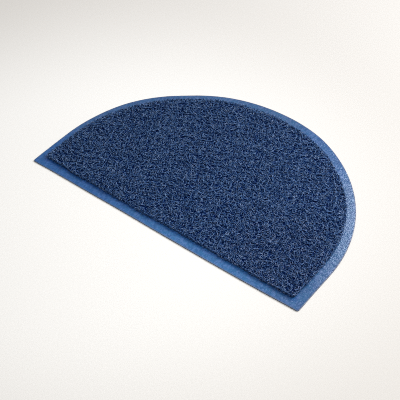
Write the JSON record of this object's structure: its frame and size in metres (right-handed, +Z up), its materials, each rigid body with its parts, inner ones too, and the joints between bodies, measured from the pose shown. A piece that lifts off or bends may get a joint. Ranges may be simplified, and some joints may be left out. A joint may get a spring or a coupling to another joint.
{
  "type": "half-round doormat",
  "caption": "D-shaped coil doormat: looped vinyl strands fused on a thin flat sheet whose bare rim forms a smooth border, to wipe shoes on at a door.",
  "frame": {"origin": "on the floor, under the middle of the mat's bounding box", "axes": "+X along the straight edge, +Y from the straight edge to the round edge, +Z up"},
  "size_m": [0.6006, 0.401, 0.01],
  "materials": {
    "sheet_vinyl": "soft smooth vinyl with a fine pressed grain and a low sheen",
    "strand_vinyl": "looped soft vinyl strands with a slight gloss"
  },
  "bodies": {
    "root": {"backing": "sheet_vinyl", "coil_pile": "strand_vinyl"}
  },
  "joints": []
}
